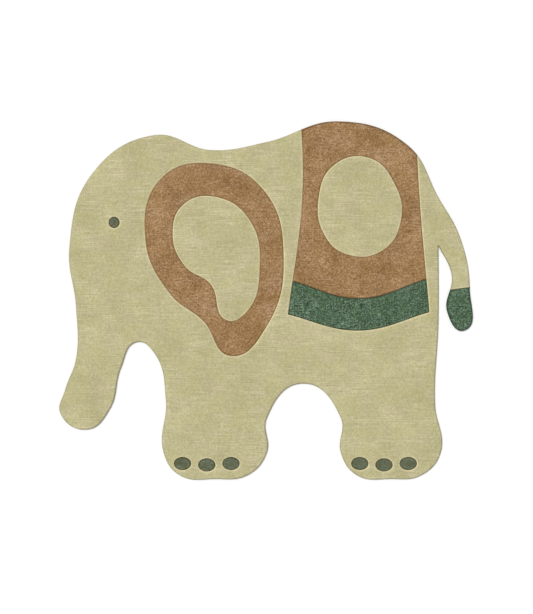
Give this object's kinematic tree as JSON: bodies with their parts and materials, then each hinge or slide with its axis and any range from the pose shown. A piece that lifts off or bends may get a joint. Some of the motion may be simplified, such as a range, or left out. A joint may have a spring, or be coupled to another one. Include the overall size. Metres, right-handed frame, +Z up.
{
  "type": "animal shaped kids rug",
  "caption": "Flat tufted kids' rug cut to a plain elephant's outline, with its ear, saddle cloth, eye and toenails carved as grooves in the pile; it lies flat on the floor.",
  "frame": {"origin": "on the floor under the middle of the rug's box", "axes": "+X along the rug's length, from the trunk to the tail; +Y across it, from the feet to the back; +Z up, out of the pile"},
  "size_m": [1.8, 1.56, 0.013],
  "materials": {
    "sage_pile": "short sage green pile with faint streaks",
    "brown_pile": "short brown heather pile",
    "green_pile": "short dark green heather pile",
    "olive_pile": "short dark olive pile",
    "canvas_back": "plain woven canvas"
  },
  "bodies": {
    "root": {"rug": "sage_pile"}
  },
  "joints": []
}
